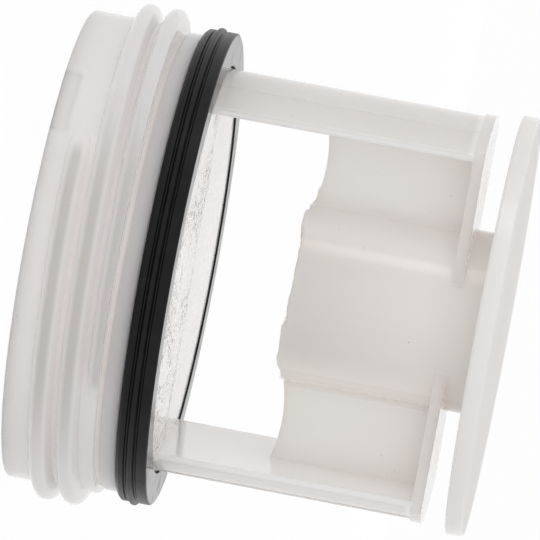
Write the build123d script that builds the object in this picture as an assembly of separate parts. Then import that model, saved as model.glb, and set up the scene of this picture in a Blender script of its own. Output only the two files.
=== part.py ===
"""Lint filter of a washing machine's drain pump: a screw cap with a lint catcher and a rubber seal.

Millimetres. The axis is Z. The filter stands on the rim of its cap, grip side down, end disc on top.
The two arms and the wings lie in the XZ plane.
"""

import os
from math import cos, radians, sin, sqrt

from build123d import *

# Screw cap
cap_radius = 29.7
cap_wall = 2.2
shoulder_height = 11.6
shoulder_round = 0.2
groove_width = 0.55
groove_depth = 1.2
flange_thickness = 2.2
flange_setback = 0.6
edge_round = 0.35
cavity_round = 0.8

# Spigot that holds the seal and closes the cap
spigot_wall = 2.2
spigot_round = 0.6
face_step = 0.2

# Thread on the cap, single start, right-handed
thread_pitch = 3.43
thread_height = 2.0
thread_gap = 0.43
thread_crest = 1.8
thread_round = 0.7
thread_root = 0.3
dome_inset = 0.03
thread_start_angle = -122.0
thread_start_height = 4.1
thread_sweep = 778.0

# Shallow mark in the cap's wall, at the rim
mark_height = 2.4
mark_depth = 0.45
mark_angle = 224.0
mark_span = 21.0

# Finger grip across the inside of the cap
grip_setback = 1.0
grip_waist = 4.4
grip_end = 7.0
grip_round = 0.9

# Seal ring
seal_width = 3.95
seal_overhang = 0.3
seal_depth = 4.1
seal_clearance = 0.1
seal_round = 0.45
seal_chamfer = 0.3
bead_height = 0.35
bead_width = 0.8
bead_place = 1.8
bead_groove = 0.2

# Lint catcher: two arms, a hub, wings between them, shoulder plates and an end disc
arm_setback = 0.25
arm_depth = 4.1
arm_width = 24.1
arm_band_width = 14.2
arm_band_step = 0.12
arm_round = 0.25
window_length = 13.2
hub_length = 26.0
hub_radius = 11.45
hub_wall = 2.0
hub_round = 0.3
wing_thickness = 2.0
wing_setback = 0.25
wing_hollow = 0.85
plate_overhang = 0.3
plate_thickness = 1.2
plate_root_angle = 61.0
disc_overhang = 0.95
disc_thickness = 2.25
disc_gap = 3.1
disc_round = 0.35
joint_depth = 1.0

# Heights along the axis
flange_bottom = shoulder_height + groove_width
flange_top = flange_bottom + flange_thickness
seal_top = flange_top + seal_width
spigot_top = seal_top - face_step
floor_height = spigot_top - spigot_wall
web_height = flange_top - spigot_wall
hub_bottom = spigot_top + window_length
disc_top = hub_bottom + hub_length
disc_bottom = disc_top - disc_thickness
plate_top = disc_bottom - disc_gap
plate_bottom = plate_top - plate_thickness

# Radii
cavity_radius = cap_radius - cap_wall
groove_radius = cap_radius - groove_depth
flange_radius = cap_radius - flange_setback
seal_radius = cap_radius + seal_overhang
seal_bore = seal_radius - seal_depth
spigot_radius = seal_bore - seal_clearance
core_radius = spigot_radius - spigot_wall
arm_radius = spigot_radius - arm_setback
arm_flat = arm_radius - arm_depth
plate_radius = arm_radius + plate_overhang
disc_radius = arm_radius + disc_overhang
hub_core_radius = hub_radius - hub_wall


def turned(outline, rounded):
    """A solid of revolution from an outline of (radius, height) points.

    rounded lists (point, radius) pairs: each of those corners gets that radius.
    """
    face = make_face(Polyline(*outline, close=True))
    for corner, radius in rounded:
        vertex = face.vertices().sort_by_distance(Vector(*corner))[0]
        face = fillet(vertex, radius)
    return revolve(Plane.XZ * face, Axis.Z)


def cap():
    """Threaded wall, groove, flange and spigot: a stepped cup that opens downwards."""
    rim_inside = (cavity_radius, 0)
    rim_outside = (cap_radius, 0)
    shoulder = (cap_radius, shoulder_height)
    flange_low = (flange_radius, flange_bottom)
    flange_high = (flange_radius, flange_top)
    spigot_edge = (spigot_radius, spigot_top)
    web_corner = (cavity_radius, web_height)
    floor_corner = (core_radius, floor_height)
    outline = [
        (0, floor_height),
        floor_corner,
        (core_radius, web_height),
        web_corner,
        rim_inside,
        rim_outside,
        shoulder,
        (groove_radius, shoulder_height),
        (groove_radius, flange_bottom),
        flange_low,
        flange_high,
        (spigot_radius, flange_top),
        spigot_edge,
        (0, spigot_top),
    ]
    rounded = [(corner, edge_round) for corner in (rim_inside, rim_outside, flange_low, flange_high)]
    rounded += [(corner, cavity_round) for corner in (web_corner, floor_corner)]
    rounded += [(shoulder, shoulder_round), (spigot_edge, spigot_round)]
    return turned(outline, rounded)


def ridge_section(inset):
    """Cross-section of the thread's ridge in the XZ plane, drawn in by inset all round."""
    crest_radius = cap_radius + thread_height - inset
    root_radius = cap_radius - thread_root
    half_base = (thread_pitch - thread_gap) / 2 - inset
    half_crest = thread_crest / 2 - inset
    flank_slope = (half_base - half_crest) / (crest_radius - cap_radius)
    half_root = half_base + flank_slope * thread_root
    flanks_and_crest = Polyline(
        (root_radius, half_root),
        (crest_radius, half_crest),
        (crest_radius, -half_crest),
        (root_radius, -half_root),
        close=True,
    )
    section = make_face(flanks_and_crest)
    crest_corners = section.vertices().group_by(Axis.X)[-1]
    return Plane.XZ * fillet(crest_corners, thread_round)


def threaded_cap():
    """The cap with its ridge: a helical run with domed ends that runs out into the shoulder."""
    rise = thread_pitch * thread_sweep / 360
    place = Pos(0, 0, thread_start_height) * Rot(0, 0, thread_start_angle)
    below_shoulder = Pos(0, 0, shoulder_height / 2) * Cylinder(2 * cap_radius, shoulder_height)
    run = sweep(ridge_section(0), path=Helix(thread_pitch, rise, cap_radius), is_frenet=True)
    dome = revolve(split(ridge_section(dome_inset), Plane.XY, keep=Keep.TOP), Axis.X)
    end_dome = Pos(0, 0, rise) * Rot(0, 0, thread_sweep) * dome
    whole = cap() + (place * run & below_shoulder)
    whole = whole + (place * dome & below_shoulder)
    return whole + (place * end_dome & below_shoulder)


def mark():
    """The shallow recess at the rim, as the piece that is cut away."""
    half_span = mark_span / 2
    outer = cap_radius + thread_height
    inner = cap_radius - mark_depth
    sector = Polyline(
        (0, 0),
        (2 * outer * cos(radians(half_span)), -2 * outer * sin(radians(half_span))),
        (2 * outer * cos(radians(half_span)), 2 * outer * sin(radians(half_span))),
        close=True,
    )
    plan = (Circle(outer) - Circle(inner)) & make_face(sector)
    return Rot(0, 0, mark_angle) * extrude(plan, mark_height)


def grip():
    """Bar across the cap's hollow, waisted for finger and thumb, set back from the rim."""
    reach = cavity_radius + cap_wall / 2
    waist = grip_waist / 2
    end = grip_end / 2
    near_side = ThreePointArc((-reach, -end), (0, -waist), (reach, -end))
    far_side = ThreePointArc((reach, end), (0, waist), (-reach, end))
    ends = Line((reach, -end), (reach, end)) + Line((-reach, end), (-reach, -end))
    plan = make_face(near_side + far_side + ends)
    bar = Pos(0, 0, grip_setback) * extrude(plan, floor_height - grip_setback + joint_depth)
    long_edges = bar.edges().filter_by(GeomType.CIRCLE).group_by(Axis.Z)[0]
    bar = fillet(long_edges, grip_round)
    low_space = Pos(0, 0, web_height / 2) * Cylinder(reach, web_height)
    high_space = Cylinder(core_radius + spigot_wall / 2, 2 * spigot_top)
    return bar & (low_space + high_space)


def arm():
    """Strut on the +X side: round outside with a raised middle band, flat inside."""
    flank_radius = arm_radius - arm_band_step
    half_width = arm_width / 2
    beyond = 2 * arm_radius

    def slice_of(radius, width):
        window = Pos(arm_flat + beyond / 2, 0) * Rectangle(beyond, width)
        return Circle(radius) & window

    flanks = slice_of(flank_radius, arm_width)
    edge_face = sqrt(flank_radius**2 - half_width**2) - arm_flat
    flanks = fillet(flanks.vertices(), min(arm_round, edge_face / 3))
    plan = flanks + slice_of(arm_radius, arm_band_width)
    bottom = spigot_top - joint_depth
    return Pos(0, 0, bottom) * extrude(plan, plate_bottom + plate_thickness / 2 - bottom)


def wing():
    """Flat web between hub and arm on the +X side, with a hollow lower edge."""
    edge = hub_bottom + wing_setback
    inner = hub_radius - hub_wall / 2
    middle = (inner + arm_flat) / 2
    outer = arm_flat + joint_depth
    top = plate_bottom + plate_thickness / 2
    hollow = ThreePointArc((inner, edge), (middle, edge + wing_hollow), (arm_flat, edge))
    rest = Polyline((arm_flat, edge), (outer, edge), (outer, top), (inner, top), (inner, edge))
    return extrude(Plane.XZ * make_face(hollow + rest), wing_thickness / 2, both=True)


def plate():
    """Shoulder plate on the +X side, from the hub out over the end of the arm."""
    root_x = hub_radius * cos(radians(plate_root_angle))
    root_y = hub_radius * sin(radians(plate_root_angle))
    half_width = arm_width / 2
    beyond = 2 * plate_radius
    sides = Polyline(
        (root_x, -root_y),
        (arm_flat, -half_width),
        (beyond, -half_width),
        (beyond, half_width),
        (arm_flat, half_width),
        (root_x, root_y),
        close=True,
    )
    plan = make_face(sides) & Circle(plate_radius)
    solid = extrude(plan, plate_thickness)
    upper_rim = solid.edges().filter_by(GeomType.CIRCLE).group_by(Axis.Z)[-1]
    return Pos(0, 0, plate_bottom) * fillet(upper_rim, min(edge_round, plate_thickness / 3))


def hub():
    """Round post with the end disc on it, before its hollow is cut."""
    outline = [
        (0, hub_bottom),
        (hub_radius, hub_bottom),
        (hub_radius, disc_bottom),
        (disc_radius, disc_bottom),
        (disc_radius, disc_top),
        (0, disc_top),
    ]
    rounded = [
        ((hub_radius, hub_bottom), hub_round),
        ((disc_radius, disc_bottom), disc_round),
        ((disc_radius, disc_top), disc_round),
    ]
    return turned(outline, rounded)


def hub_hollow():
    """The hollow of the hub, as the piece that is cut away: round in front and open to the back."""
    way_out = Pos(0, hub_radius) * Rectangle(2 * hub_core_radius, 2 * hub_radius)
    plan = Circle(hub_core_radius) + way_out
    bottom = hub_bottom + hub_wall
    return Pos(0, 0, bottom) * extrude(plan, disc_bottom - bottom)


def filter_body():
    """The whole moulding: cap, thread and lint catcher."""
    side = arm() + wing() + plate()
    catcher = side + mirror(side, Plane.YZ) + hub() - hub_hollow()
    return (threaded_cap() + grip() + catcher) - mark()


def seal_ring():
    """Rubber ring on the spigot, with a bead between two grooves round its outside."""
    outline = [
        (seal_bore, flange_top),
        (seal_radius - seal_chamfer, flange_top),
        (seal_radius, flange_top + seal_chamfer),
        (seal_radius, seal_top),
        (seal_bore, seal_top),
    ]
    ring = turned(outline, [((seal_radius, seal_top), seal_round)])
    bead_level = flange_top + bead_place
    half_bead = bead_width / 2
    foot_radius = seal_radius - bead_height
    crest = ThreePointArc(
        (seal_radius, bead_level - half_bead),
        (seal_radius + bead_height, bead_level),
        (seal_radius, bead_level + half_bead),
    )
    foot = Polyline(
        (seal_radius, bead_level + half_bead),
        (foot_radius, bead_level + half_bead),
        (foot_radius, bead_level - half_bead),
        (seal_radius, bead_level - half_bead),
    )
    bead = revolve(Plane.XZ * make_face(crest + foot), Axis.Z)
    for side in (-1, 1):
        groove_centre = (seal_radius, bead_level + side * (half_bead + bead_groove))
        ring = ring - revolve(Plane.XZ * (Pos(*groove_centre) * Circle(bead_groove)), Axis.Z)
    return ring + bead


os.makedirs("parts", exist_ok=True)
for name, piece in {"filter_body": filter_body(), "seal_ring": seal_ring()}.items():
    export_step(piece, f"parts/{name}.step")
    size = piece.bounding_box().size
    print(f"{name}: {piece.volume:.0f} mm3, {size.X:.2f} x {size.Y:.2f} x {size.Z:.2f} mm")
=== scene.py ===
# %% [markdown]
# # A lint filter from a washing machine's drain pump
#
# The filter screws into the pump from the front of the machine. A ridged cap closes the port, a black
# rubber ring seals it, and two long arms carry a hub with flat wings that catch coins, hair and lint.
# Everything but the ring is one moulding in milky polypropylene.
#
# The measured model comes in first. It fixes the sizes, and each piece below is built to its box.

# %% Load the measured model
import math

import bmesh
import bpy
from mathutils import Matrix, Vector, noise as fields


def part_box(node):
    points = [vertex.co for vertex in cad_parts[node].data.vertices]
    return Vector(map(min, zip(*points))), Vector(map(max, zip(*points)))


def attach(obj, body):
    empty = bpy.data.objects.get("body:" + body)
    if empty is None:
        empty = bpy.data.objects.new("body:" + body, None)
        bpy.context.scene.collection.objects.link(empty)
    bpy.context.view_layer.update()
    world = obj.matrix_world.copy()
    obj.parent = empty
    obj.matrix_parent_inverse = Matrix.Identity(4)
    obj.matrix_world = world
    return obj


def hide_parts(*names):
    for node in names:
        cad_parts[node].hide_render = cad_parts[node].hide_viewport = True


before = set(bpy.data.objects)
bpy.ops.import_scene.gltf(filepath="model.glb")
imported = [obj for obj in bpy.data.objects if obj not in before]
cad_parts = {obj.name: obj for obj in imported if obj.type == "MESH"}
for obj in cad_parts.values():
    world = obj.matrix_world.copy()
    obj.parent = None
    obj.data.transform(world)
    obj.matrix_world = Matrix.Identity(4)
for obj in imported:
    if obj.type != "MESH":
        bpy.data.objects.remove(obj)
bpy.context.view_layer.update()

MM = 0.001
body_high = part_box("filter_body")[1]
seal_low, seal_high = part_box("seal_ring")
print("body height %.2f mm, thread diameter %.2f mm" % (body_high[2] / MM, 2 * body_high[0] / MM))
print("seal from %.2f to %.2f mm" % (seal_low[2] / MM, seal_high[2] / MM))

# %% [markdown]
# ## Tools for round pieces
#
# A moulding tool is mostly turned on a lathe and milled flat, so two shapes are enough here: a section
# that is spun about the axis, and later a flat outline that is raised to a thickness. Ready-made
# cylinders could be stacked instead, but every step between them would need a join. Corners are rounded
# in the flat section, before the spin, because a bevel there stays clean all the way round.

# %% Sections and spins
TURN_STEPS = 240


def flat_face(points):
    """One face through the points, in a new mesh."""
    bm = bmesh.new()
    bm.faces.new([bm.verts.new(point) for point in points])
    return bm


def corner_at(bm, point):
    """The vertex nearest to a point."""
    return min(bm.verts, key=lambda vertex: (vertex.co - Vector(point)).length)


def round_corner(bm, point, radius, segments=5):
    """Rounds one corner of a flat face."""
    vertex = corner_at(bm, point)
    a, b = [(edge.other_vert(vertex).co - vertex.co) for edge in vertex.link_edges]
    reach = radius / math.tan(a.angle(b) / 2)
    bmesh.ops.bevel(bm, geom=[vertex], offset=reach, segments=segments, profile=0.5,
                    affect="VERTICES", material=-1)


def bare_section(bm):
    """Leaves only the outline of a face, without the part that lies on the Z axis."""
    bmesh.ops.delete(bm, geom=bm.faces[:], context="FACES_ONLY")
    on_axis = [edge for edge in bm.edges if all(abs(v.co.x) < 1e-9 for v in edge.verts)]
    bmesh.ops.delete(bm, geom=on_axis, context="EDGES")


def turned(outline, rounds=()):
    """Spins a half section, given as (radius, height) points, into a closed skin."""
    bm = flat_face([(radius, 0, height) for radius, height in outline])
    for (radius, height), size in rounds:
        round_corner(bm, (radius, 0, height), size)
    bare_section(bm)
    bmesh.ops.spin(bm, geom=bm.verts[:] + bm.edges[:], cent=(0, 0, 0), axis=(0, 0, 1),
                   angle=2 * math.pi, steps=TURN_STEPS, use_merge=True)
    bmesh.ops.remove_doubles(bm, verts=bm.verts, dist=1e-7)
    return bm


def as_object(bm, name):
    """Puts a mesh into the scene with its faces turned outward."""
    bmesh.ops.recalc_face_normals(bm, faces=bm.faces[:])
    mesh = bpy.data.meshes.new(name)
    bm.to_mesh(mesh)
    bm.free()
    piece = bpy.data.objects.new(name, mesh)
    bpy.context.scene.collection.objects.link(piece)
    return piece


print("tools ready, %d steps to a turn" % TURN_STEPS)

# %% [markdown]
# ## The cap
#
# The cap closes the port of the pump. It is a stepped cup, open downwards: a wall for the thread, a
# groove, a flange and then the spigot that holds the ring. The floor of the cup is the bright face from
# which the arms rise. A cylinder could be hollowed and cut step by step, but one spun half section gives
# all of it at once, rounds included.

# %% Turn the cap
wall_thick = 2.2 * MM
inner_round = 0.8 * MM
edge_round = 0.35 * MM
cap_radius = 29.7 * MM
cavity_radius = cap_radius - wall_thick
shoulder = 11.6 * MM
flange_low = 12.15 * MM
flange_high = seal_low[2]
flange_radius = cap_radius - 0.6 * MM
groove_radius = cap_radius - 1.0 * MM
spigot_radius = 25.8 * MM
core_radius = spigot_radius - wall_thick
face_height = seal_high[2] - 0.2 * MM
floor_height = face_height - wall_thick
web_height = flange_high - wall_thick

cap = as_object(turned(
    [(0, floor_height), (core_radius, floor_height), (core_radius, web_height),
     (cavity_radius, web_height), (cavity_radius, 0), (cap_radius, 0), (cap_radius, shoulder),
     (groove_radius, shoulder), (groove_radius, flange_low), (flange_radius, flange_low),
     (flange_radius, flange_high), (spigot_radius, flange_high), (spigot_radius, face_height),
     (0, face_height)],
    [((core_radius, floor_height), inner_round), ((cavity_radius, web_height), inner_round),
     ((cavity_radius, 0), edge_round), ((cap_radius, 0), edge_round), ((cap_radius, shoulder), 0.25 * MM),
     ((flange_radius, flange_low), 0.45 * MM), ((flange_radius, flange_high), edge_round),
     ((spigot_radius, face_height), edge_round)]), "cap")
print("cap: %d faces" % len(cap.data.polygons))

# %% [markdown]
# ## The thread
#
# The thread is a broad rounded ridge that climbs the wall twice, right-handed, and runs out into the
# shoulder. A bevelled curve could follow the helix, but its section may twist on the way and its ends are
# blunt. So the section is drawn once as a chain of edges. Half of it, spun about its own middle, closes
# each end with the rounded nose that a milled thread has.

# %% Draw the ridge's section and its rounded end
crest_radius = body_high[0]
ridge_root = cap_radius - 0.3 * MM
half_root = 1.55 * MM
half_crest = 0.8 * MM
crest_round = 0.95 * MM


def half_ridge():
    """Upper half of the ridge's section, as a chain of edges."""
    bm = flat_face([(ridge_root, 0, 0), (ridge_root, 0, half_root),
                    (crest_radius, 0, half_crest), (crest_radius, 0, 0)])
    round_corner(bm, (crest_radius, 0, half_crest), crest_round, segments=8)
    bmesh.ops.delete(bm, geom=bm.faces[:], context="FACES_ONLY")
    middle = [edge for edge in bm.edges if all(abs(v.co.z) < 1e-9 for v in edge.verts)]
    bmesh.ops.delete(bm, geom=middle, context="EDGES")
    return bm


def nose(side):
    """Rounded end of the ridge, on the -1 or +1 side of its section."""
    bm = half_ridge()
    bmesh.ops.spin(bm, geom=bm.verts[:] + bm.edges[:], cent=(0, 0, 0), axis=(1, 0, 0),
                   angle=-side * math.pi, steps=16)
    return bm


print("ridge %.1f mm wide at its foot, crest rounded to %.2f mm" % (2 * half_root / MM, crest_round / MM))

# %% [markdown]
# A spin with a small lift at each step makes a helix. A Screw modifier would wind it too, but within one
# mesh the two noses can be welded on straight away. Seen beside the photo, the ridge starts a little
# earlier than in the measured model, and an early turn with a lower foot keeps all of the rest in place.

# %% Wind the ridge
pitch = 3.43 * MM
early_turn = 5.5
thread_sweep = math.radians(778 + early_turn)
thread_start = math.radians(-122 - early_turn)
thread_foot = 4.1 * MM - pitch * early_turn / 360
RUN_STEPS = 480


def add_to(bm, other, matrix=Matrix()):
    """Copies another mesh into this one."""
    bmesh.ops.transform(other, matrix=matrix, verts=other.verts)
    carrier = bpy.data.meshes.new("carrier")
    other.to_mesh(carrier)
    other.free()
    bm.from_mesh(carrier)
    bpy.data.meshes.remove(carrier)


rise = pitch * thread_sweep / (2 * math.pi)
ridge = half_ridge()
bmesh.ops.mirror(ridge, geom=ridge.verts[:] + ridge.edges[:], axis="Z", merge_dist=1e-7)
bmesh.ops.spin(ridge, geom=ridge.verts[:] + ridge.edges[:], cent=(0, 0, 0), axis=(0, 0, 1),
               dvec=(0, 0, rise / RUN_STEPS), angle=thread_sweep, steps=RUN_STEPS)
add_to(ridge, nose(-1))
add_to(ridge, nose(1), Matrix.Translation((0, 0, rise)) @ Matrix.Rotation(thread_sweep, 4, "Z"))
bmesh.ops.remove_doubles(ridge, verts=ridge.verts, dist=4e-6)
print("ridge climbs %.2f mm in %.0f degrees" % (rise / MM, math.degrees(thread_sweep)))

# %% [markdown]
# The cutter that shaped the mould was fed in and drawn out while it ran, so the ridge starts and ends
# low. A lattice could press its ends down, but a loop over the vertices can work with the angle itself. A
# plane then takes off what would stand above the shoulder.

# %% Taper both ends and trim the ridge at the shoulder
taper_in = math.radians(14)
taper_out = math.radians(12)
nose_angle = math.radians(3)
lowest_share = 0.1
taper_power = 1.2
trim_height = shoulder - 0.02 * MM


def keep_below(bm, point, normal):
    """Cuts off what lies beyond a plane."""
    everything = bm.verts[:] + bm.edges[:] + bm.faces[:]
    return bmesh.ops.bisect_plane(bm, geom=everything, plane_co=point, plane_no=normal, clear_outer=True)


for vertex in ridge.verts:
    turn = math.atan2(vertex.co.y, vertex.co.x)
    turn += 2 * math.pi * round(vertex.co.z / pitch - turn / (2 * math.pi))
    from_start = (turn + nose_angle) / taper_in
    from_end = (thread_sweep + nose_angle - turn) / taper_out
    share = min(1, max(lowest_share, min(from_start, from_end)))
    distance = vertex.co.xy.length
    vertex.co.xy *= (ridge_root + (distance - ridge_root) * share**taper_power) / distance
bmesh.ops.transform(ridge, verts=ridge.verts,
                    matrix=Matrix.Translation((0, 0, thread_foot)) @ Matrix.Rotation(thread_start, 4, "Z"))
cut = keep_below(ridge, (0, 0, trim_height), (0, 0, 1))["geom_cut"]
rim = [item for item in cut if isinstance(item, bmesh.types.BMEdge)]
bmesh.ops.holes_fill(ridge, edges=rim)
open_edges = sum(not edge.is_manifold for edge in ridge.edges)
thread = as_object(ridge, "thread")
print("thread: %d faces, %d open edges" % (len(thread.data.polygons), open_edges))

# %% [markdown]
# ## Tools for flat pieces
#
# Bars, wings and plates are flat outlines that are raised to a thickness. Their curved sides could be
# Bezier curves, but a mesh arc has its ends exactly where a neighbour needs them. An arc comes from
# spinning a single vertex.

# %% Arcs and raised outlines
def arc(bm, start, end, bulge, across, steps=24):
    """A chain of vertices from start to end, bulging to one side by a given height."""
    start, end = Vector(start), Vector(end)
    chord = end - start
    half = chord.length / 2
    radius = (half**2 + bulge**2) / (2 * bulge)
    sideways = Vector(across).cross(chord).normalized()
    centre = (start + end) / 2 + sideways * (bulge - radius)
    first = bm.verts.new(start)
    before = len(bm.verts) - 1
    bmesh.ops.spin(bm, geom=[first], cent=centre, axis=across,
                   angle=-2 * math.asin(half / radius), steps=steps)
    bm.verts.ensure_lookup_table()
    loose = [bm.verts[i] for i in range(before, len(bm.verts))]
    bmesh.ops.delete(bm, geom=bm.edges[:], context="EDGES_FACES")
    return loose


def raised(bm, step):
    """Turns a flat face into a solid by moving a copy of it through a step."""
    made = bmesh.ops.extrude_face_region(bm, geom=bm.faces[:])["geom"]
    moved = [item for item in made if isinstance(item, bmesh.types.BMVert)]
    bmesh.ops.translate(bm, verts=moved, vec=step)
    return bm


def soften(bm, chosen, size, segments=3):
    """Rounds the chosen edges of a solid."""
    bmesh.ops.bevel(bm, geom=chosen, offset=size, segments=segments, profile=0.5,
                    affect="EDGES", clamp_overlap=True, material=-1)


print("flat outlines can be raised and softened")

# %% [markdown]
# ## The grip
#
# The hollow of the cap has a bar across it for finger and thumb, narrowed in the middle. It can't be seen
# in the usual view, so it stays plain. A stretched cube would do for the bar, but not for the waist, so
# both sides are arcs. Inside the spigot the hollow is narrower, and the bar has two storeys for that.

# %% Shape the grip
half_wall = wall_thick / 2
grip_reach = cavity_radius + half_wall
grip_end = 3.5 * MM
grip_pinch = 1.3 * MM
grip_foot = 1.0 * MM


def grip_bar(reach, bottom, top):
    """The bar's plan, cut to a reach and raised from bottom to top."""
    bm = bmesh.new()
    near = arc(bm, (-grip_reach, -grip_end, bottom), (grip_reach, -grip_end, bottom), grip_pinch, (0, 0, 1))
    far = arc(bm, (grip_reach, grip_end, bottom), (-grip_reach, grip_end, bottom), grip_pinch, (0, 0, 1))
    bm.faces.new(near + far)
    for side in (-1, 1):
        keep_below(bm, (side * reach, 0, 0), (side, 0, 0))
    return raised(bm, (0, 0, top - bottom))


sunk = 1.0 * MM
low_grip = grip_bar(grip_reach - 0.1 * MM, grip_foot, web_height + sunk)
lower_edges = [edge for edge in low_grip.edges
               if all(abs(v.co.z - grip_foot) < 1e-7 and abs(v.co.x) < grip_reach for v in edge.verts)
               and abs(edge.verts[0].co.x - edge.verts[1].co.x) > 1e-6]
soften(low_grip, lower_edges, 0.9 * MM)
low_grip = as_object(low_grip, "low_grip")
high_grip = grip_bar(core_radius + half_wall, web_height - sunk, floor_height + sunk)
high_grip = as_object(high_grip, "high_grip")
print("grip: %d and %d faces" % (len(low_grip.data.polygons), len(high_grip.data.polygons)))

# %% [markdown]
# ## The mark
#
# A shallow recess at the rim may show where the cap stands when it is tight. A bump in the finish could
# draw it, but its edge catches the light, so it is really cut. The cutter is a section that is spun
# through a short angle. Both ends are then eased to nothing, because the real recess fades out.

# %% Shape the mark's cutter
mark_top = 2.4 * MM
mark_depth = 0.45 * MM
mark_span = math.radians(21)
mark_angle = math.radians(224)
beyond = crest_radius + 2 * MM
clear = cap_radius + 0.05 * MM
mark_floor = cap_radius - mark_depth
below_rim = -2 * MM
slope_low = mark_top - 0.4 * MM
slope_high = mark_top + 0.3 * MM
above_mark = mark_top + 0.7 * MM
mark_round = 0.5 * MM
mark = flat_face([(mark_floor, 0, below_rim), (beyond, 0, below_rim), (beyond, 0, above_mark),
                  (clear, 0, above_mark), (clear, 0, slope_high), (mark_floor, 0, slope_low)])
round_corner(mark, (clear, 0, slope_high), mark_round)
round_corner(mark, (mark_floor, 0, slope_low), mark_round)
bmesh.ops.rotate(mark, verts=mark.verts, matrix=Matrix.Rotation(mark_angle - mark_span / 2, 3, "Z"))
bmesh.ops.spin(mark, geom=mark.verts[:] + mark.edges[:] + mark.faces[:], cent=(0, 0, 0), axis=(0, 0, 1),
               angle=mark_span, steps=42)
mark_end = math.radians(2.5)
for vertex in mark.verts:
    distance = vertex.co.xy.length
    if distance < clear:
        turn = (math.atan2(vertex.co.y, vertex.co.x) - mark_angle + math.pi) % (2 * math.pi) - math.pi
        share = min(1, (mark_span / 2 - abs(turn)) / mark_end)
        eased = share * share * (3 - 2 * share)
        vertex.co.xy *= (clear + (distance - clear) * eased) / distance
mark = as_object(mark, "mark")
print("mark: %d faces" % len(mark.data.polygons))

# %% [markdown]
# ## The arms
#
# Two arms stand on the spigot and carry the catcher. Their backs follow the bore of the pump and their
# inner sides are flat. A middle band stands a tenth of a millimetre proud, where two halves of the mould
# meet slides. A bent box would come close, but a round outline that is cut down by planes keeps the curve
# and the flats exact.

# %% Build the arms
arm_radius = 25.55 * MM
arm_flat = 21.45 * MM
arm_half = 12.05 * MM
band_half = 7.1 * MM
band_step = 0.12 * MM
arm_corner = 0.25 * MM
band_corner = 0.4 * MM
disc_high = body_high[2]
disc_low = disc_high - 2.25 * MM
plate_high = disc_low - 3.1 * MM
plate_low = plate_high - 1.4 * MM
arm_foot = face_height - 1.0 * MM
arm_top = plate_low + 0.6 * MM


def round_slab(radius, height):
    """A flat disc outline at a height, ready to be cut."""
    bm = bmesh.new()
    bmesh.ops.create_circle(bm, cap_ends=True, radius=radius, segments=2 * TURN_STEPS)
    bmesh.ops.translate(bm, verts=bm.verts, vec=(0, 0, height))
    return bm


def arm_slice(side, radius, half_width, corner):
    """A lengthwise slice of an arm, with rounded long edges."""
    bm = round_slab(radius, arm_foot)
    keep_below(bm, (side * arm_flat, 0, 0), (-side, 0, 0))
    keep_below(bm, (0, half_width, 0), (0, 1, 0))
    keep_below(bm, (0, -half_width, 0), (0, -1, 0))
    outer = math.sqrt(radius**2 - half_width**2)
    for end in (-1, 1):
        for x in (arm_flat, outer):
            round_corner(bm, (side * x, end * half_width, arm_foot), corner, segments=3)
    return raised(bm, (0, 0, arm_top - arm_foot))


SIDES = ((-1, "upper"), (1, "lower"))
arms = []
for side, name in SIDES:
    arms.append(as_object(arm_slice(side, arm_radius - band_step, arm_half, arm_corner), name + "_arm"))
    arms.append(as_object(arm_slice(side, arm_radius, band_half, band_corner), name + "_band"))
print("arms: " + ", ".join(piece.name for piece in arms))

# %% [markdown]
# ## The wings
#
# A thin wing ties the hub to each arm, and its free edge is a hollow arc. Small hollow fillets ease each
# wing into the hub, as a moulder wants them so that the plastic flows. A bevel after the join could make
# them, but where a flat wall meets a round one it breaks easily, so each fillet is a small solid of its
# own. They bite a little into both walls, because a fillet that only touches leaves slivers.

# %% Build the wings and their fillets
hub_radius = 11.45 * MM
hub_low = face_height + 13.2 * MM
wing_half = 1.0 * MM
wing_low = hub_low + 0.25 * MM
wing_hub_low = wing_low - 0.3 * MM
wing_hollow = 0.85 * MM
wing_in = hub_radius - 1.0 * MM
wing_out = arm_flat + 1.0 * MM


def wing(side):
    """A flat web from hub to arm with a hollow lower edge."""
    bm = bmesh.new()
    hollow = arc(bm, (side * arm_flat, -wing_half, wing_low), (side * wing_in, -wing_half, wing_hub_low),
                 wing_hollow, (0, side, 0))
    rest = [bm.verts.new((side * x, -wing_half, z))
            for x, z in ((wing_in, arm_top), (wing_out, arm_top), (wing_out, wing_low))]
    bm.faces.new(hollow + rest)
    raised(bm, (0, 2 * wing_half, 0))
    return bm


upper_fillet = 2.0 * MM
lower_fillet = 1.2 * MM
root_bite = 0.04 * MM
root_low = hub_low + 0.45 * MM


def wing_root(side, end, root_fillet):
    """The hollow fillet between a wing's face and the hub."""
    centre_y = wing_half + root_fillet - root_bite
    centre_x = math.sqrt((hub_radius + root_fillet - root_bite)**2 - centre_y**2)
    bm = bmesh.new()
    first = bm.verts.new((side * centre_x, end * (centre_y - root_fillet), root_low))
    sweep = math.pi / 2 - math.atan2(centre_y, centre_x)
    bmesh.ops.spin(bm, geom=[first], cent=(side * centre_x, end * centre_y, 0), axis=(0, 0, 1),
                   angle=-side * end * sweep, steps=10)
    bmesh.ops.delete(bm, geom=bm.edges[:], context="EDGES_FACES")
    hollow = bm.verts[:]
    inner = bm.verts.new((side * wing_in, 0, root_low))
    outer = bm.verts.new((side * centre_x, 0, root_low))
    bm.faces.new(hollow + [inner, outer])
    return raised(bm, (0, 0, plate_low - hub_low))


wings = [as_object(wing(side), name + "_wing") for side, name in SIDES]
for end in (-1, 1):
    wings.append(as_object(wing_root(-1, end, upper_fillet), "upper_root"))
    wings.append(as_object(wing_root(1, end, lower_fillet), "lower_root"))
print("wings and roots: %d pieces" % len(wings))

# %% [markdown]
# ## The shoulder plates
#
# A thin plate spans from the hub over the end of each arm, a few millimetres short of the disc. It could
# be drawn point by point, but its rim is as round as the arms' backs. So its plan is a disc too, trimmed
# by a plane at the hub and by slanting planes to the arm's corners.

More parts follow.
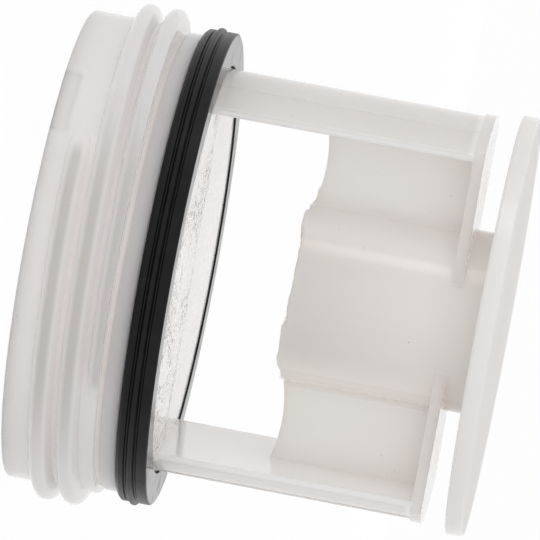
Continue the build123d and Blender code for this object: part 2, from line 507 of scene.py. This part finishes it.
# %% Build the plates
plate_radius = arm_radius + 0.3 * MM
root_angle = math.radians(61)


def plate(side):
    """A shoulder plate from the hub out over the end of an arm."""
    bm = round_slab(plate_radius, plate_low)
    root = Vector((hub_radius * math.cos(root_angle), hub_radius * math.sin(root_angle), 0))
    along = Vector((arm_flat, arm_half, 0)) - root
    keep_below(bm, (side * root.x, 0, 0), (-side, 0, 0))
    for end in (-1, 1):
        keep_below(bm, (side * root.x, end * root.y, 0), (-side * along.y, end * along.x, 0))
        keep_below(bm, (0, end * arm_half, 0), (0, end, 0))
    raised(bm, (0, 0, plate_high - plate_low))
    return bm


plates = [as_object(plate(side), name + "_plate") for side, name in SIDES]
print("plates: %.1f mm thick" % ((plate_high - plate_low) / MM))

# %% [markdown]
# ## The hub and the end disc
#
# The hub is the round core of the catcher, and the disc ends it. Both share one spun section. A little
# plastic has crept between the tools at the hub's free end, and that flash is left on. A Displace
# modifier could roughen it, but only this one edge may move: a noise field shifts its vertices by tenths
# of a millimetre, and two longer lips stand out further, each from one angle to another.

# %% Turn the hub and add the flash
disc_radius = 26.5 * MM
hub_edge = 0.3 * MM
hub = turned(
    [(0, hub_low), (hub_radius, hub_low), (hub_radius, disc_low), (disc_radius, disc_low),
     (disc_radius, disc_high), (0, disc_high)],
    [((hub_radius, hub_low), hub_edge), ((disc_radius, disc_low), edge_round),
     ((disc_radius, disc_high), edge_round)])
near_edge = 1.1 * hub_edge
flash_grain = 1.8 * MM
flash_height = 0.3 * MM
flash_from = 0.1
lips = ((197.5, 222.5, 0.5 * MM), (282.5, 325.0, 0.42 * MM))
lip_rise, lip_fall = 3, 6
for vertex in hub.verts:
    if vertex.co.z < hub_low + near_edge and vertex.co.xy.length > hub_radius - near_edge:
        flash = flash_height * max(0, fields.noise(vertex.co / flash_grain) - flash_from)
        turn = math.degrees(math.atan2(vertex.co.y, vertex.co.x)) % 360
        for first, last, reach in lips:
            if first < turn < last:
                flash += reach * min(1, (turn - first) / lip_rise, (last - turn) / lip_fall)
        vertex.co.z -= flash
hub = as_object(hub, "hub")
print("hub: %d faces" % len(hub.data.polygons))

# %% [markdown]
# A moulder keeps walls thin, so the hub is taken to be hollow. Its back can't be seen, and an opening
# there is a guess. A plain cylinder would leave a closed hollow that no mould could make, so the cutter
# is half round with straight sides towards the back.

# %% Shape the hub's hollow
hollow_radius = hub_radius - 2.0 * MM
hollow_low = hub_low + 2.0 * MM
hollow = bmesh.new()
front = arc(hollow, (-hollow_radius, 0, hollow_low), (hollow_radius, 0, hollow_low),
            -hollow_radius, (0, 0, 1), steps=48)
back = [hollow.verts.new((side * hollow_radius, 2 * hub_radius, hollow_low)) for side in (1, -1)]
hollow.faces.new(front + back)
hollow = as_object(raised(hollow, (0, 0, disc_low - hollow_low)), "hollow")
print("hollow: %.1f mm wide" % (2 * hollow_radius / MM))

# %% [markdown]
# ## One moulding
#
# All of this leaves the mould in one shot, so the shapes are joined into one closed skin. Overlapping
# shells would look alike from afar, but light that scatters inside would meet hidden walls. A Boolean
# modifier does the joining, and its result is kept as a plain mesh. Weighted normals keep the flats flat
# beside the rounded edges.

# %% Join the moulding
def merge(base, others, operation):
    """Joins or cuts with other objects and leaves one mesh."""
    for other in others:
        step = base.modifiers.new(operation.lower(), "BOOLEAN")
        step.operation = operation
        step.solver = "MANIFOLD"
        step.object = other
    graph = bpy.context.evaluated_depsgraph_get()
    mesh = bpy.data.meshes.new_from_object(base.evaluated_get(graph))
    base.modifiers.clear()
    base.data = mesh
    for other in others:
        bpy.data.objects.remove(other)


def shade(piece, sharp_from):
    """Smooth shading, split at edges that turn by more than an angle."""
    piece.data.shade_smooth()
    piece.data.set_sharp_from_angle(angle=math.radians(sharp_from))
    weighted = piece.modifiers.new("flats stay flat", "WEIGHTED_NORMAL")
    weighted.keep_sharp = True


moulding = cap
merge(moulding, [thread, low_grip, high_grip, hub] + arms + wings + plates, "UNION")
merge(moulding, [mark, hollow], "DIFFERENCE")
moulding.name = "moulding"
shade(moulding, sharp_from=35)
check = bmesh.new()
check.from_mesh(moulding.data)
print("moulding: %d faces, %d open edges, %.0f mm3"
      % (len(check.faces), sum(not edge.is_manifold for edge in check.edges), check.calc_volume() / MM**3))
check.free()
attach(moulding, "root")
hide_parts("filter_body")

# %% [markdown]
# ## The seal
#
# The ring is moulded rubber. It has a small chamfer towards the flange and, about halfway along, a round
# bead between two grooves that presses against the pump. A torus would be quicker, but it has no grooves,
# so the ring is a section of its own, spun like the cap.

# %% Turn the seal
bead_radius = seal_high[0]
seal_radius = bead_radius - 0.35 * MM
seal_bore = spigot_radius + 0.1 * MM
z0, z1 = seal_low[2], seal_high[2]
bead = z0 + 1.8 * MM
groove_floor = seal_radius - 0.2 * MM
half_bead = [(bead_radius, 0.2 * MM), (groove_floor, 0.52 * MM),
             (groove_floor, 0.68 * MM), (seal_radius, 0.82 * MM)]
bead_points = [(reach, bead - away) for reach, away in reversed(half_bead)]
bead_points += [(reach, bead + away) for reach, away in half_bead]
bead_crest = bead_points[len(half_bead) - 1:len(half_bead) + 1]
chamfer = 0.4 * MM
small_round = 0.2 * MM
seal_outline = ([(seal_bore, z0), (seal_radius - chamfer, z0), (seal_radius, z0 + chamfer)]
                + bead_points + [(seal_radius, z1), (seal_bore, z1)])
seal_rounds = [((seal_radius, z1), edge_round), ((seal_bore, z1), 0.15 * MM),
               ((seal_radius - chamfer, z0), small_round), ((seal_radius, z0 + chamfer), small_round)]
seal_rounds += [(point, small_round) for point in bead_crest]
seal = as_object(turned(seal_outline, seal_rounds), "seal")
shade(seal, sharp_from=50)
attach(seal, "root")
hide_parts("seal_ring")
print("seal: %d faces" % len(seal.data.polygons))

# %% [markdown]
# ## A small language for finishes
#
# Finishes vary from place to place, and place is arithmetic on coordinates. Nodes could be added one by
# one, but a formula is hard to see in a long list of links. A wrapped socket lets it be written as sums
# and products, which turn into Math nodes.

# %% Wrap a socket
class Wire:
    """A value inside a material. Sums and products of wires become Math nodes."""

    def __init__(self, tree, socket=None):
        self.tree = tree
        self.socket = socket

    def node(self, kind, settings=None, inputs=None, output=0):
        """Adds a node, sets it up, feeds it and gives one of its outputs."""
        made = self.tree.nodes.new(kind)
        for name, value in (settings or {}).items():
            setattr(made, name, value)
        for key, value in (inputs or {}).items():
            if isinstance(value, Wire):
                self.tree.links.new(value.socket, made.inputs[key])
            else:
                made.inputs[key].default_value = value
        return Wire(self.tree, made.outputs[output])

    def math(self, operation, *values):
        return self.node("ShaderNodeMath", {"operation": operation}, dict(enumerate(values)))

    def __add__(self, other):
        return self.math("ADD", self, other)

    def __sub__(self, other):
        return self.math("SUBTRACT", self, other)

    def __mul__(self, other):
        return self.math("MULTIPLY", self, other)

    __radd__ = __add__
    __rmul__ = __mul__

    def ramp(self, start, end, low=0.0, high=1.0):
        """Eases from low to high while this value goes from start to end."""
        return self.node("ShaderNodeMapRange", {"interpolation_type": "SMOOTHSTEP"},
                         {0: self, 1: start, 2: end, 3: low, 4: high})

    def within(self, rise, fall):
        """One between two eased borders, each given by its start and end."""
        return self.ramp(*rise) * self.ramp(*fall, 1.0, 0.0)

    def blend(self, first, second):
        """A colour between two, by this value."""
        return self.node("ShaderNodeMix", {"data_type": "RGBA"}, {0: self, 6: first, 7: second}, output=2)


def new_material(name):
    """An empty material: its wire, its shader and its object coordinates."""
    material = bpy.data.materials.new(name)
    material.use_nodes = True
    tree = material.node_tree
    wire = Wire(tree)
    place = wire.node("ShaderNodeTexCoord", output=3)
    return material, tree.nodes["Principled BSDF"], wire, place


def feed(shader, socket, wire):
    wire.tree.links.new(wire.socket, shader.inputs[socket])


print("finishes can be written")

# %% [markdown]
# ## Milky polypropylene
#
# The plastic lets light in and scatters it. A mix of a diffuse and a translucent shader could imitate that,
# but subsurface scattering does it properly, so the shader gets it in full. Its reach is the same for red,
# green and blue, because unequal reaches would tint every valley.

# %% Start the plastic
scatter_reach = 3.5 * MM
plastic, shader, wire, place = new_material("milky polypropylene")
axes = wire.node("ShaderNodeSeparateXYZ", inputs={0: place})
x, y, z = [Wire(plastic.node_tree, socket) for socket in axes.socket.node.outputs]
radius = wire.math("SQRT", x * x + y * y)
shader.inputs["Specular IOR Level"].default_value = 0.3
shader.inputs["Subsurface Weight"].default_value = 1.0
shader.inputs["Subsurface Radius"].default_value = (1.0, 1.0, 1.0)
shader.inputs["Subsurface Scale"].default_value = scatter_reach
print("light reaches %.1f mm into the plastic" % (scatter_reach / MM))

# %% [markdown]
# ## Painted shade in thick and dim places
#
# Painted shade follows thickness and neighbours. Painted vertex colours could carry it, but they blur where
# the mesh is coarse, so each place is a mask made of ramps on height and radius. The cap's wall is more
# neutral than the rest and is darkened with painted shade. Towards the black ring the light that enters
# isn't given back, so painted grey shade darkens the upper wall and the flange. The thread's crests are
# thick and get painted shade, weaker on the sides towards the arms. Their mask winds with the helix: along
# a crest, height in pitches less the angle in turns is a whole number.

# %% Mark the places on the cap
# Painted shade: the cap's wall is tinted more neutral and also darkened.
wall = z.ramp(11 * MM, 12 * MM, 1.0, 0.0)
at_ring = (flange_high, flange_high + 0.2 * MM)
near_seal_shade = z.within((5 * MM, 13 * MM), at_ring)
flange = z.within((shoulder, shoulder + 1.0 * MM), at_ring)
flange_edge_shade = z.within((flange_high - 1.2 * MM, flange_high - 0.2 * MM), at_ring)
angle = wire.math("ARCTAN2", y, x)
lead = (z - thread_foot) * (1 / pitch) - (angle - thread_start) * (0.5 / math.pi)
from_crest = wire.math("PINGPONG", lead, 0.5) * pitch
# Painted shade on the thread's crests, full halfway between the arms and weaker on the sides towards them.
crest = (from_crest.ramp(0.3 * MM, 1.1 * MM, 1.0, 0.0) * radius.ramp(30.0 * MM, 31.0 * MM)
         * (x * x).ramp((8 * MM)**2, (27 * MM)**2, 1.0, 0.25))
# Painted shade inside the mark's recess, darker along its upper part.
recess = radius.within((mark_floor - 0.25 * MM, mark_floor - 0.1 * MM), (mark_floor, cap_radius - 0.1 * MM))
recess = recess * z.ramp(2 * MM, 3 * MM, 1.0, 0.0)
recess_edge_shade = recess * z.ramp(1.3 * MM, 2.0 * MM)
print("cap marked, %d nodes so far" % len(plastic.node_tree.nodes))

# %% [markdown]
# On the catcher, painted shade darkens the hub, most across its front and back and on its side towards the
# lower arm, and also the arms' backs, the plates' edges and the end disc. The wings are thin and only get a
# warmer tint. The hub's mask holds for its outer skin only, so that its hollow stays plain.

# %% Mark the places on the catcher
# Painted shade on the arms' backs.
arm_back_shade = (radius.ramp(25.0 * MM, 25.3 * MM)
             * z.within((seal_high[2], seal_high[2] + 1 * MM), (plate_low - 1 * MM, plate_low)))
# Painted shade on the plates' edges.
plate_edge_shade = (z.within((plate_low, plate_low + 0.1 * MM), (plate_high - 0.1 * MM, plate_high))
               * radius.ramp(hub_radius, hub_radius + 0.3 * MM))
# Painted shade over the end disc.
disc = z.ramp(disc_low - 0.1 * MM, disc_low + 0.1 * MM)
hub_skin = radius.within((hub_radius - 0.3 * MM, hub_radius - 0.1 * MM),
                         (hub_radius + 0.1 * MM, hub_radius + 0.2 * MM))
on_hub = hub_skin * z.within((hub_low - 1 * MM, hub_low), (disc_low - 0.2 * MM, disc_low))
# Painted shade across the hub's front and back, weaker towards the plates.
hub_middle_shade = on_hub * (x * x).ramp((5 * MM)**2, (10 * MM)**2, 1.0, 0.0)
hub_middle_shade = hub_middle_shade * z.ramp(hub_low, plate_low, 0.5, 0.3)
# Painted shade on the hub's side towards the lower arm.
hub_side_shade = on_hub * x.ramp(8.9 * MM, 9.05 * MM)
on_wing = ((y * y).ramp((1.1 * MM)**2, (1.4 * MM)**2, 1.0, 0.0)
           * radius.ramp(hub_radius + 1 * MM, hub_radius + 2 * MM)
           * z.within((hub_low - 2 * MM, hub_low - 1 * MM), (plate_low, plate_low + 0.2 * MM)))
print("catcher marked, %d nodes so far" % len(plastic.node_tree.nodes))

# %% [markdown]
# ## Tones of milk
#
# No batch is quite even, so two close milks are clouded into each other first. Then each mask pulls the
# milk towards a tone of its own, the largest places first: the wings and hub get tints, the wall a tint and
# painted shade, and the thick places and the flange by the ring painted shade. A few dark specks are dust
# that was moulded in.

# %% Mix the milk
WARM_MILK = (0.985, 0.948, 0.92, 1)
CLOUDY_MILK = (0.965, 0.926, 0.895, 1)
WALL_TINT_AND_SHADE = (0.86, 0.84, 0.83, 1)
WING_MILK = (0.985, 0.938, 0.90, 1)
HUB_MILK = (0.965, 0.945, 0.91, 1)
PAINTED_SHADE_TONE = (0.56, 0.54, 0.512, 1)
SHADED_MILK = (0.22, 0.22, 0.27, 1)
SPECK_BROWN = (0.25, 0.22, 0.19, 1)


def noise(scale, detail=3.0, roughness=0.55, stretch=None):
    """A cloudy field on the object, drawn out along each axis whose stretch is small."""
    where = place
    if stretch:
        where = wire.node("ShaderNodeVectorMath", {"operation": "MULTIPLY"}, {0: place, 1: stretch})
    return wire.node("ShaderNodeTexNoise", None, {"Vector": where, "Scale": scale, "Detail": detail,
                                                  "Roughness": roughness})


milk = noise(60.0).ramp(0.35, 0.65).blend(WARM_MILK, CLOUDY_MILK)
milk = (wall * 0.9).blend(milk, WALL_TINT_AND_SHADE)
milk = on_wing.blend(milk, WING_MILK)
milk = (on_hub * 0.5).blend(milk, HUB_MILK)
# Painted shade: crests, the mark's recess, the hub, the arms' backs, the plates' edges and the disc are
# pulled towards one dark tone.
thick = (crest * 0.85 + recess * 0.05 + recess_edge_shade * 0.14 + hub_side_shade * 0.12 + hub_middle_shade
         + arm_back_shade * 0.45 + plate_edge_shade * 0.4 + disc * 0.2)
milk = thick.blend(milk, PAINTED_SHADE_TONE)
# Painted grey shade on the upper wall and the flange towards the black ring.
milk = (near_seal_shade * 0.08 + flange * 0.32 + flange_edge_shade * 0.12).blend(milk, SHADED_MILK)
specks = noise(2600.0, 1.0).ramp(0.8, 0.83)
milk = (specks * 0.6).blend(milk, SPECK_BROWN)
print("milk mixed, %d nodes so far" % len(plastic.node_tree.nodes))

# %% [markdown]
# ## The spigot's face
#
# Half of the face is pitted where the mould has worn, in drifts with a ragged border, and half is smooth
# with fine streaks. The pits are a stretched noise. It darkens the milk a little, dulls the shine and feeds
# the bump, so that all three agree. The outer face of the end disc is matt.

# %% Pit the face and finish the plastic
PIT_GREY = (0.3, 0.3, 0.28, 1)
on_face = z.within((face_height - 0.1 * MM, face_height - 0.05 * MM),
                   (face_height + 0.1 * MM, face_height + 0.2 * MM))
near_half = (y + noise(120.0) * (6 * MM)).ramp(0.5 * MM, 3.0 * MM, 1.0, 0.0)
drifts = noise(150.0, 2.0).ramp(0.36, 0.56, 0.15, 1.0)
pits = noise(1500.0, 3.0, 0.6, stretch=(1.0, 0.4, 1.0))
streaks = noise(500.0, 3.0, 0.5, stretch=(0.12, 1.0, 1.0))
pitted = on_face * near_half * drifts * pits.ramp(0.5, 0.62)
feed(shader, "Base Color", (pitted * 0.65).blend(milk, PIT_GREY))
matt = z.ramp(disc_high - 0.06 * MM, disc_high - 0.02 * MM)
feed(shader, "Roughness", 0.08 + noise(160.0).ramp(0.3, 0.7) * 0.05 + pitted * 0.25 + matt * 0.65)
height = noise(420.0, 2.0) * 0.012 + on_face * (near_half * drifts * pits * 0.4 + streaks * 0.12)
bump = wire.node("ShaderNodeBump", None, {"Strength": 0.9, "Distance": 0.35 * MM, "Height": height})
feed(shader, "Normal", bump)
moulding.data.materials.clear()
moulding.data.materials.append(plastic)
print("plastic: %d nodes" % len(plastic.node_tree.nodes))

# %% [markdown]
# ## Black rubber
#
# The rubber is almost black with a soft sheen. A little dust lifts the black here and there, and a fine
# grain breaks the shine, since an even black would look like paint. The ring's flat face is smoother.

# %% Make the rubber
rubber, shader, wire, place = new_material("black rubber")
axes = wire.node("ShaderNodeSeparateXYZ", inputs={0: place})
z = Wire(rubber.node_tree, axes.socket.node.outputs[2])
flat_face_of_ring = z.ramp(z1 - 0.06 * MM, z1 - 0.02 * MM)
shader.inputs["Specular IOR Level"].default_value = 0.18
dust = noise(300.0, 4.0).ramp(0.45, 0.75)
CLEAN_BLACK = (0.005, 0.005, 0.0055, 1)
DUSTY_BLACK = (0.011, 0.011, 0.013, 1)
feed(shader, "Base Color", dust.blend(CLEAN_BLACK, DUSTY_BLACK))
feed(shader, "Roughness", 0.34 + dust * 0.12 - flat_face_of_ring * 0.2)
grain = noise(700.0, 4.0)
bump = wire.node("ShaderNodeBump", None, {"Strength": 0.3, "Distance": 0.06 * MM, "Height": grain})
feed(shader, "Normal", bump)
seal.data.materials.append(rubber)
print("rubber: %d nodes" % len(rubber.node_tree.nodes))

# %% [markdown]
# ## Floor and light
#
# The filter stands on a pale floor that fades into white. A plain white sheet would turn grey away from
# the lamps. So the camera, and mirror images of the floor, see it as white with only a breath of shadow,
# while its real diffuse side sends light back into the object. It lies a hair below the rim, because two
# faces in one plane would flicker.

# %% Lay the floor
FLOOR_WHITE = 0.97
hair = 0.05 * MM
floor_mesh = bmesh.new()
bmesh.ops.create_grid(floor_mesh, x_segments=1, y_segments=1, size=8.0)
bmesh.ops.translate(floor_mesh, verts=floor_mesh.verts, vec=(0, 0, -hair))
floor = as_object(floor_mesh, "floor")


def white_to_eye(wire, weight):
    """One for rays from the camera and their mirror images, times a weight."""
    path = wire.node("ShaderNodeLightPath").socket.node
    seen = [Wire(wire.tree, path.outputs[name])
            for name in ("Is Camera Ray", "Is Glossy Ray", "Is Transmission Ray")]
    return wire.math("MINIMUM", seen[0] + seen[1] + seen[2], 1.0) * weight


paper, shader, wire, place = new_material("white paper")
shader.inputs["Base Color"].default_value = (0.9, 0.9, 0.9, 1)
shader.inputs["Roughness"].default_value = 0.9
shader.inputs["Specular IOR Level"].default_value = 0.0
glow = wire.node("ShaderNodeEmission", None, {"Color": (1, 1, 1, 1), "Strength": 1.0})
mix = wire.node("ShaderNodeMixShader", None, {0: white_to_eye(wire, FLOOR_WHITE),
                                              1: Wire(paper.node_tree, shader.outputs[0]), 2: glow})
paper.node_tree.links.new(mix.socket, paper.node_tree.nodes["Material Output"].inputs["Surface"])
floor.data.materials.append(paper)
print("floor %.2f mm below the rim" % (hair / MM))

# %% [markdown]
# The room works the same way: white to the camera, dimmer as a source of light.

# %% Paint the room
ROOM_LIGHT = 0.58
world = bpy.data.worlds.new("white room")
bpy.context.scene.world = world
world.use_nodes = True
wire = Wire(world.node_tree)
background = world.node_tree.nodes["Background"]
seen = white_to_eye(wire, 1.0)
feed(background, "Strength", seen * (1.0 - ROOM_LIGHT) + ROOM_LIGHT)
background.inputs["Color"].default_value = (1, 1, 1, 1)
print("room lights with %.2f of its white" % ROOM_LIGHT)

# %% [markdown]
# ## Camera
#
# The photograph lays the filter on its side: its axis points right and a little down. The same view is
# had by leaving it upright and turning the camera, so that nothing has to move.

# %% Set the camera
view_azimuth = math.radians(-9.5)
view_height = math.radians(4.4)
view_distance = 0.7
axis_tilt = math.radians(10.64)
field = 67.5 * MM
aim_height = 27.43 * MM
aim_aside = 1.7 * MM
to_camera = Vector((math.sin(view_azimuth) * math.cos(view_height),
                    -math.cos(view_azimuth) * math.cos(view_height), math.sin(view_height)))
axis_seen = (Vector((0, 0, 1)) - to_camera * to_camera.z).normalized()
across = to_camera.cross(axis_seen)
right = axis_seen * math.cos(axis_tilt) + across * math.sin(axis_tilt)
up = across * math.cos(axis_tilt) - axis_seen * math.sin(axis_tilt)
aim = Vector((0, 0, aim_height)) + across * aim_aside
camera_data = bpy.data.cameras.new("camera")
camera_data.sensor_fit = "HORIZONTAL"
camera_data.angle = 2 * math.atan(field / 2 / view_distance)
camera_data.clip_start = 0.01
camera = bpy.data.objects.new("camera", camera_data)
spot = aim + to_camera * view_distance
camera.matrix_world = Matrix((right, up, to_camera)).transposed().to_4x4()
camera.matrix_world.translation = spot
bpy.context.scene.collection.objects.link(camera)
bpy.context.scene.camera = camera
print("camera %.0f mm away, lens %.0f mm" % (view_distance / MM, camera_data.lens))

# %% [markdown]
# ## Lamps
#
# A small lamp above the camera draws the long highlight on the hub, and it alone may be seen mirrored.
# Large soft boxes in front, behind, above the end disc and to both sides reach into the pockets between
# wings and plates, where the white room's light doesn't get. A brighter room would light them too, but it
# would wash out all shading.

# %% Hang the lamps
SOFT_BOX = 0.8


def lamp(name, position, power, width=SOFT_BOX, height=SOFT_BOX, mirrored=False):
    """A soft box that faces the filter, with or without a mirror image in it."""
    data = bpy.data.lights.new(name, "AREA")
    data.shape = "RECTANGLE"
    data.size = width
    data.size_y = height
    data.energy = power
    made = bpy.data.objects.new(name, data)
    made.location = position
    toward = (position - aim).normalized()
    level = right.cross(toward).normalized()
    made.matrix_world = Matrix((level.cross(toward) * -1, level * -1, toward)).transposed().to_4x4()
    made.matrix_world.translation = position
    made.visible_camera = False
    made.visible_glossy = mirrored
    bpy.context.scene.collection.objects.link(made)


def swung(degrees):
    """The direction to the camera, swung sideways about the filter's axis."""
    return to_camera * math.cos(math.radians(degrees)) + across * math.sin(math.radians(degrees))


key_distance = 0.35
key_place = aim + swung(59) * key_distance
key_place.z = 54 * MM
lamp("key", key_place, 0.08, width=0.1, height=0.105, mirrored=True)
lamp("front", aim + to_camera, 1.8)
lamp("back", aim - to_camera, 2.0)
lamp("top", aim + axis_seen, 1.2)
for degrees in (-50, 50):
    lamp("side", aim + swung(degrees), 0.9)
print("soft boxes: %.1f m wide" % SOFT_BOX)

# %% [markdown]
# Milky plastic glows when the table below is bright. Two faint points under the cap give its wall that
# glow, since a stronger floor would light the arms as well. More diffuse bounces than usual keep the
# narrow places bright.

# %% Glow under the cap
glow_aside = 14 * MM
glow_height = 5.5 * MM
for side in (-1, 1):
    inside = bpy.data.lights.new("inside", "POINT")
    inside.shadow_soft_size = 4 * MM
    inside.energy = 0.0016
    made = bpy.data.objects.new("inside", inside)
    made.location = (0, side * glow_aside, glow_height)
    bpy.context.scene.collection.objects.link(made)
bpy.context.scene.cycles.diffuse_bounces = 12
bpy.context.scene.view_settings.view_transform = "Standard"
print("%d lamps on" % len(bpy.data.lights))
